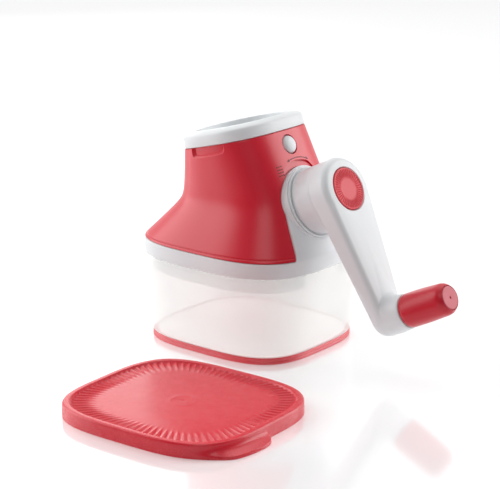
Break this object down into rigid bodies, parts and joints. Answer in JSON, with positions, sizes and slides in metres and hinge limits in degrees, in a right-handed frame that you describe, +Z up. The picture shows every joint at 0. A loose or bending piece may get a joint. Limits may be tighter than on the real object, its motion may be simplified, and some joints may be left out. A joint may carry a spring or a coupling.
{
  "type": "hand crank drum grater",
  "caption": "Hand-cranked drum grater on a frosted storage bowl: flared housing with push-down feeder, sloping crank with turning knob, and a separate snap lid.",
  "frame": {"origin": "middle of the bowl's underside, on the table plane", "axes": "+Z up, +X towards the crank, +Y to the crank's left; the lid lies on the table on the -Y side"},
  "size_m": [0.2434, 0.2793, 0.1639],
  "materials": {
    "satin_red": "satin moulded red plastic",
    "lid_red": "satin flexible red plastic, slightly translucent",
    "rubber_red": "soft matte red grip ring",
    "satin_white": "satin moulded white plastic",
    "frosted_clear": "frosted translucent plastic",
    "steel": "plain stainless steel"
  },
  "bodies": {
    "bowl": {"storage_bowl": "frosted_clear", "base_grip_ring": "rubber_red"},
    "lid": {"storage_lid": "lid_red"},
    "housing": {"housing_shell": "satin_red", "inner_frame": "satin_white", "drum_cradle": "satin_white", "feed_chute": "satin_white"},
    "button": {"release_button": "satin_white", "button_spring": "steel"},
    "pusher": {"pusher_body": "satin_white", "pusher_foot": "satin_white"},
    "collar": {"bearing_collar": "satin_white"},
    "crank": {"crank_arm": "satin_white", "crank_back_plate": "satin_white", "crank_hub": "satin_white", "crank_cap": "satin_red", "crank_screw": "steel", "crank_washer": "steel", "drive_shaft": "steel", "drum_blade": "steel", "drum_drive_disc": "satin_red", "drum_rim_ring": "satin_red", "knob_pin": "steel"},
    "knob": {"knob_grip": "satin_red", "knob_end_cap": "satin_red"}
  },
  "joints": [
    {"name": "housing_lift", "type": "slide", "parent": "bowl", "child": "housing", "axis": [0, 0, 1], "range_m": [0, 0.1]},
    {"name": "lid_lift", "type": "slide", "parent": "bowl", "child": "lid", "axis": [0, 0, 1], "range_m": [0, 0.08]},
    {"name": "pusher_slide", "type": "slide", "parent": "housing", "child": "pusher", "axis": [-0.2565, 0, 0.9666], "range_m": [0, 0.06]},
    {"name": "button_press", "type": "slide", "parent": "housing", "child": "button", "axis": [-0.8969, 0, -0.4421], "range_m": [0, 0.0018], "stiffness_N_per_m": 400, "springref_m": -0.003},
    {"name": "collar_pull", "type": "slide", "parent": "housing", "child": "collar", "axis": [0.8969, 0, 0.4421], "range_m": [0, 0.085]},
    {"name": "crank_turn", "type": "hinge", "parent": "collar", "child": "crank", "pos_m": [0, 0, 0.0799], "axis": [0.8969, 0, 0.4421], "continuous": true},
    {"name": "knob_spin", "type": "hinge", "parent": "crank", "child": "knob", "pos_m": [0.15275, 0, 0.05274], "axis": [0.8969, 0, 0.4421], "continuous": true}
  ]
}
